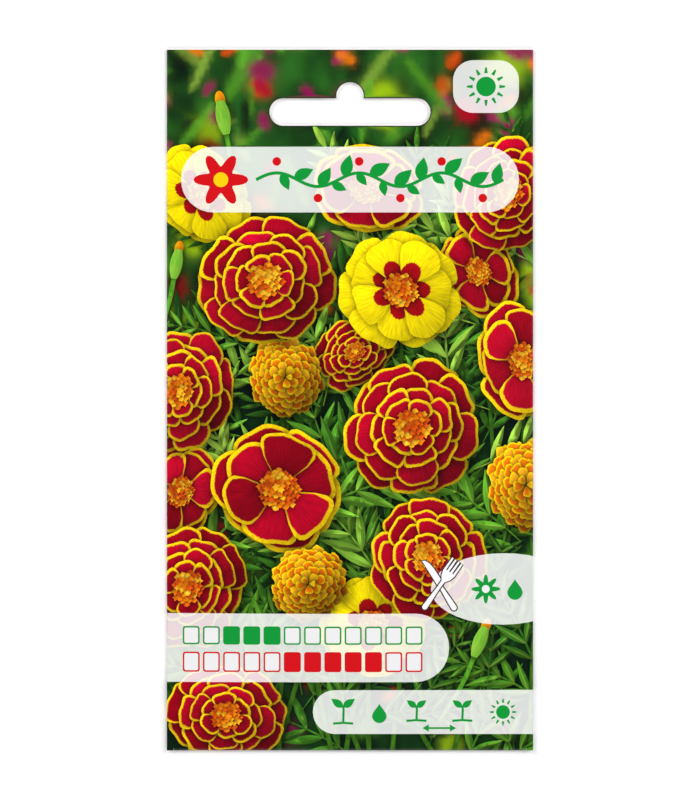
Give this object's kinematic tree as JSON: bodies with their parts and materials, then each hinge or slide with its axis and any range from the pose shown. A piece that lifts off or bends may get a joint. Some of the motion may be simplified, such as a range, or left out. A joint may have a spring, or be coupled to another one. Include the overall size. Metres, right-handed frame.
{
  "type": "seed packet",
  "caption": "Flat folded paper seed packet with a hanging slot in its head and a printed flower design, holding an inner sachet of long thin seeds.",
  "frame": {"origin": "middle of the packet's back, on the surface it lies on", "axes": "+X across the packet to the right of its printed front, +Y up the packet towards the hanging slot, +Z out of the printed front"},
  "size_m": [0.08, 0.153, 0.0037],
  "materials": {
    "coated_paper": "thin clay-coated paper, printed in full colour on its outside, satin, white inside",
    "glassine": "thin smooth translucent glassine, unprinted",
    "seed_husk": "dry ribbed seed husk, nearly black, with a straw-coloured tuft of bristles"
  },
  "bodies": {
    "root": {"packet_sheet": "coated_paper", "seed_sachet": "glassine", "marigold_seeds": "seed_husk"}
  },
  "joints": []
}
